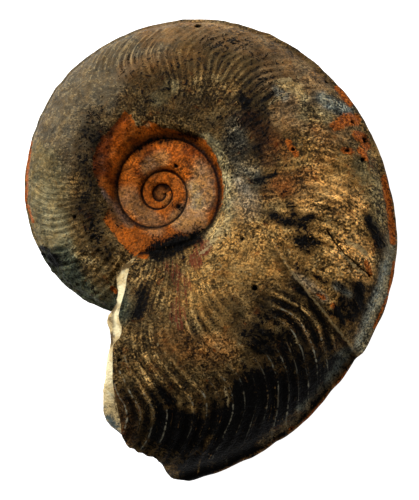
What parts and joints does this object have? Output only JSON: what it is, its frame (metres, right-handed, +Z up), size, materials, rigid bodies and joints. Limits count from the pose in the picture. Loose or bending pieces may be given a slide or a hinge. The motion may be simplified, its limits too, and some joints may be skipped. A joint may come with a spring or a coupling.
{
  "type": "fossil ammonite",
  "caption": "Ribbed, keeled fossil ammonite of the genus Protogrammoceras, a flat spiral shell turned to stone with a broken opening.",
  "frame": {"origin": "centre of the fossil's bounding box at the table, under the flank it lies on", "axes": "+Z up, +Y along the longest way from the broken end of the body chamber across the spiral, +X towards the side where the last whorl turns down to the break"},
  "size_m": [0.092, 0.1122, 0.0275],
  "materials": {
    "fossil_stone": "brown limestone and limonite with a faint sheen"
  },
  "bodies": {
    "root": {"ammonite": "fossil_stone"}
  },
  "joints": []
}
